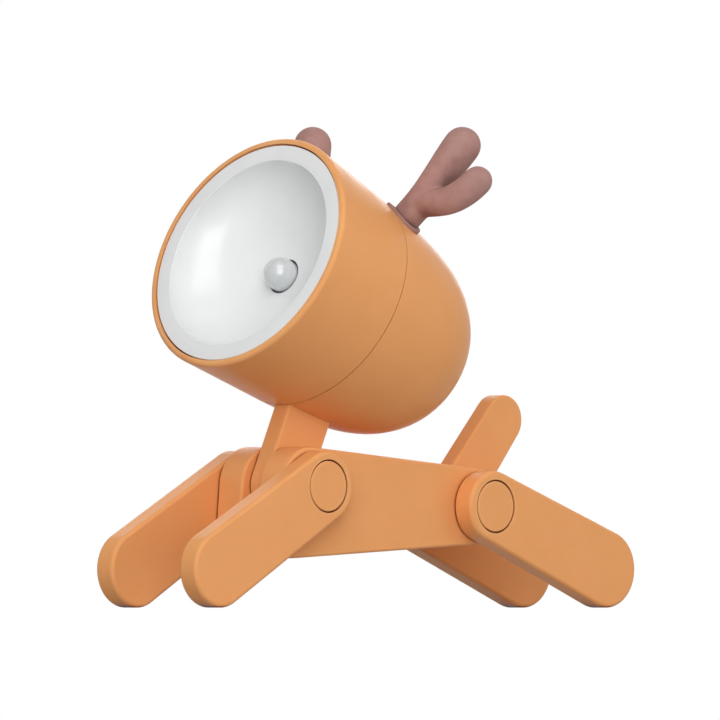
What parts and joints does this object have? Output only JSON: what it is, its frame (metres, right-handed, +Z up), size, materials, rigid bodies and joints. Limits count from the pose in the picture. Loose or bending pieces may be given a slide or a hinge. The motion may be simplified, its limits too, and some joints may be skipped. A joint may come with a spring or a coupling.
{
  "type": "folding led night light",
  "caption": "Small folding night light in the form of a deer: bell-shaped lamp head with antlers on a tilting neck, forked torso, swinging flat legs and tail.",
  "frame": {"origin": "on the ground below the middle of the object's length, on its mid-plane", "axes": "+Z up, the lamp head faces -X, -Y is the deer's left side"},
  "size_m": [0.1134, 0.0584, 0.0877],
  "materials": {
    "orange_plastic": "satin",
    "white_plastic": "gloss",
    "clear_lens": "clear",
    "soft_brown": "matte",
    "steel": "satin",
    "brass": "satin",
    "board": "satin",
    "dark_plastic": "satin"
  },
  "bodies": {
    "torso": {"torso": "orange_plastic", "front_pivot_sleeve": "brass", "rear_pivot_sleeve": "brass", "front_leg_screws": "steel", "rear_leg_screws": "steel", "leg_spring_washers": "steel"},
    "head": {"neck": "orange_plastic", "head_front_shell": "orange_plastic", "head_rear_shell": "orange_plastic", "reflector": "white_plastic", "led_lamp": "clear_lens", "led_leads": "steel", "led_board": "board", "led_board_screws": "steel", "battery_tube": "dark_plastic", "button_cells": "steel", "contact_spring": "brass", "contact_strap": "brass", "switch_board": "board", "switch_board_screws": "steel", "switch_body": "dark_plastic", "switch_wires": "dark_plastic", "antler_left": "soft_brown", "antler_right": "soft_brown"},
    "button": {"push_button": "orange_plastic", "switch_plunger": "dark_plastic"},
    "tail": {"tail": "orange_plastic"},
    "front_left_leg": {"front_left_leg": "orange_plastic", "front_left_cap": "orange_plastic"},
    "front_right_leg": {"front_right_leg": "orange_plastic", "front_right_cap": "orange_plastic"},
    "rear_left_leg": {"rear_left_leg": "orange_plastic", "rear_left_cap": "orange_plastic"},
    "rear_right_leg": {"rear_right_leg": "orange_plastic", "rear_right_cap": "orange_plastic"}
  },
  "joints": [
    {"name": "neck_tilt", "type": "hinge", "parent": "torso", "child": "head", "pos_m": [-0.02239, 0, 0.02213], "axis": [0, 1, 0], "range_deg": [-55, 7]},
    {"name": "front_left_leg_swing", "type": "hinge", "parent": "torso", "child": "front_left_leg", "pos_m": [-0.02239, 0, 0.02213], "axis": [0, 1, 0], "range_deg": [-75, 8]},
    {"name": "front_right_leg_swing", "type": "hinge", "parent": "torso", "child": "front_right_leg", "pos_m": [-0.02239, 0, 0.02213], "axis": [0, 1, 0], "range_deg": [-75, 8]},
    {"name": "rear_left_leg_swing", "type": "hinge", "parent": "torso", "child": "rear_left_leg", "pos_m": [0.02065, 0, 0.01843], "axis": [0, 1, 0], "range_deg": [-20, 80]},
    {"name": "rear_right_leg_swing", "type": "hinge", "parent": "torso", "child": "rear_right_leg", "pos_m": [0.02065, 0, 0.01843], "axis": [0, 1, 0], "range_deg": [-20, 80]},
    {"name": "tail_swing", "type": "hinge", "parent": "torso", "child": "tail", "pos_m": [0.02065, 0, 0.01843], "axis": [0, 1, 0], "range_deg": [-25, 60]},
    {"name": "button_press", "type": "slide", "parent": "head", "child": "button", "axis": [-0.9063, 0, 0.4226], "range_m": [0, 0.0008], "stiffness_N_per_m": 1200}
  ]
}
